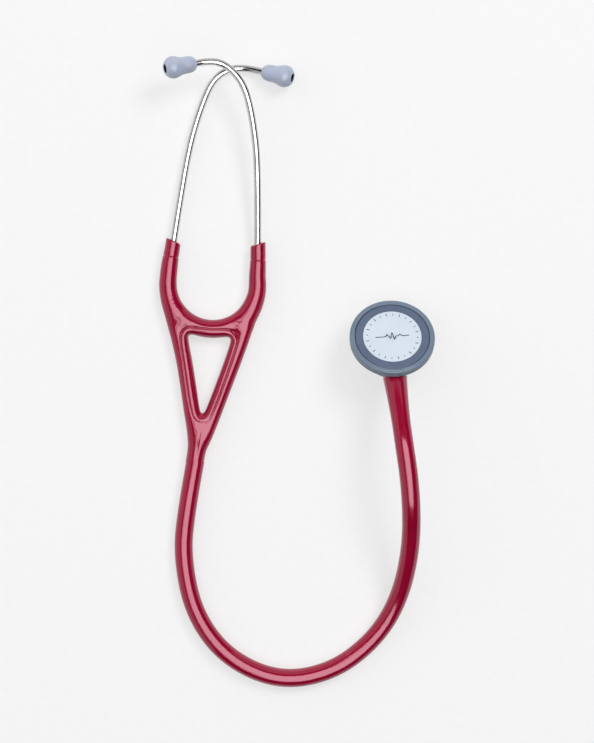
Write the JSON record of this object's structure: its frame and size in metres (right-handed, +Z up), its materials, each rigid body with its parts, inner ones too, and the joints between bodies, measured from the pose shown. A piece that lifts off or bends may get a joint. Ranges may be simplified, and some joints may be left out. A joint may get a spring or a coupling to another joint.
{
  "type": "stethoscope",
  "caption": "Double-sided stethoscope: steel ear tubes in a moulded yoke with a window, one free tube, and a two-faced rotating chestpiece.",
  "frame": {"origin": "bottom centre of the box round the headset, yoke and chestpiece, on the table it lies on", "axes": "+Z up from the table, +Y towards the ear tips, +X from the yoke towards the chestpiece"},
  "size_m": [0.156, 0.3561, 0.0483],
  "materials": {
    "tubing": "glossy moulded tubing, burgundy",
    "tube_steel": "polished stainless steel tube",
    "tip_silicone": "soft satin silicone, grey-blue",
    "tip_core": "hard moulded insert",
    "rim_elastomer": "satin moulded ring, blue-grey",
    "surround_elastomer": "satin flexible ring, slate",
    "diaphragm_resin": "fine satin fibre-filled resin, pale",
    "machined_steel": "turned and polished stainless steel",
    "spring_steel": "tempered spring steel",
    "seal_rubber": "nitrile seal"
  },
  "bodies": {
    "tubing": {"yoke": "tubing", "left_flex_arm": "tubing", "right_flex_arm": "tubing", "main_tube": "tubing", "headset_spring": "spring_steel", "stem": "machined_steel", "stem_seal": "seal_rubber"},
    "left_arm": {"left_sleeve": "tubing", "left_ear_tube": "tube_steel", "left_spring_clip": "spring_steel"},
    "right_arm": {"right_sleeve": "tubing", "right_ear_tube": "tube_steel", "right_spring_clip": "spring_steel"},
    "left_tip": {"left_ear_tip": "tip_silicone", "left_tip_insert": "tip_core"},
    "right_tip": {"right_ear_tip": "tip_silicone", "right_tip_insert": "tip_core"},
    "head": {"chestpiece_body": "machined_steel", "adult_rim": "rim_elastomer", "adult_surround": "surround_elastomer", "paediatric_rim": "rim_elastomer", "paediatric_surround": "surround_elastomer", "stem_clip": "spring_steel", "detent_ball": "spring_steel", "detent_spring": "spring_steel", "detent_screw": "machined_steel"},
    "adult_skin": {"adult_diaphragm": "diaphragm_resin"},
    "paediatric_skin": {"paediatric_diaphragm": "diaphragm_resin"}
  },
  "joints": [
    {"name": "left_arm_open", "type": "hinge", "parent": "tubing", "child": "left_arm", "pos_m": [-0.0723, -0.0084, 0.00525], "axis": [0, 0, 1], "range_deg": [0, 52], "stiffness_Nm_per_rad": 0.35, "deforming": ["left_flex_arm", "headset_spring"]},
    {"name": "right_arm_open", "type": "hinge", "parent": "tubing", "child": "right_arm", "pos_m": [-0.0215, -0.0089, 0.00525], "axis": [0, 0, -1], "range_deg": [0, 52], "stiffness_Nm_per_rad": 0.35, "deforming": ["right_flex_arm", "headset_spring"]},
    {"name": "left_tip_turn", "type": "hinge", "parent": "left_arm", "child": "left_tip", "pos_m": [-0.0186, 0.1084, 0.0059], "axis": [0.9312, -0.235, 0.2785], "continuous": true},
    {"name": "right_tip_turn", "type": "hinge", "parent": "right_arm", "child": "right_tip", "pos_m": [-0.0561, 0.1104, 0.0235], "axis": [-0.9146, -0.217, 0.3411], "continuous": true},
    {"name": "head_turn", "type": "hinge", "parent": "tubing", "child": "head", "pos_m": [0.054, -0.0489, 0.01672], "axis": [0.0905, -0.8613, 0.5], "continuous": true},
    {"name": "adult_press", "type": "slide", "parent": "head", "child": "adult_skin", "axis": [-0.0172, -0.5033, -0.8639], "range_m": [0, 0.0006], "stiffness_N_per_m": 800, "deforming": ["adult_surround"]},
    {"name": "paediatric_press", "type": "slide", "parent": "head", "child": "paediatric_skin", "axis": [0.0172, 0.5033, 0.8639], "range_m": [0, 0.0006], "stiffness_N_per_m": 800, "deforming": ["paediatric_surround"]}
  ]
}
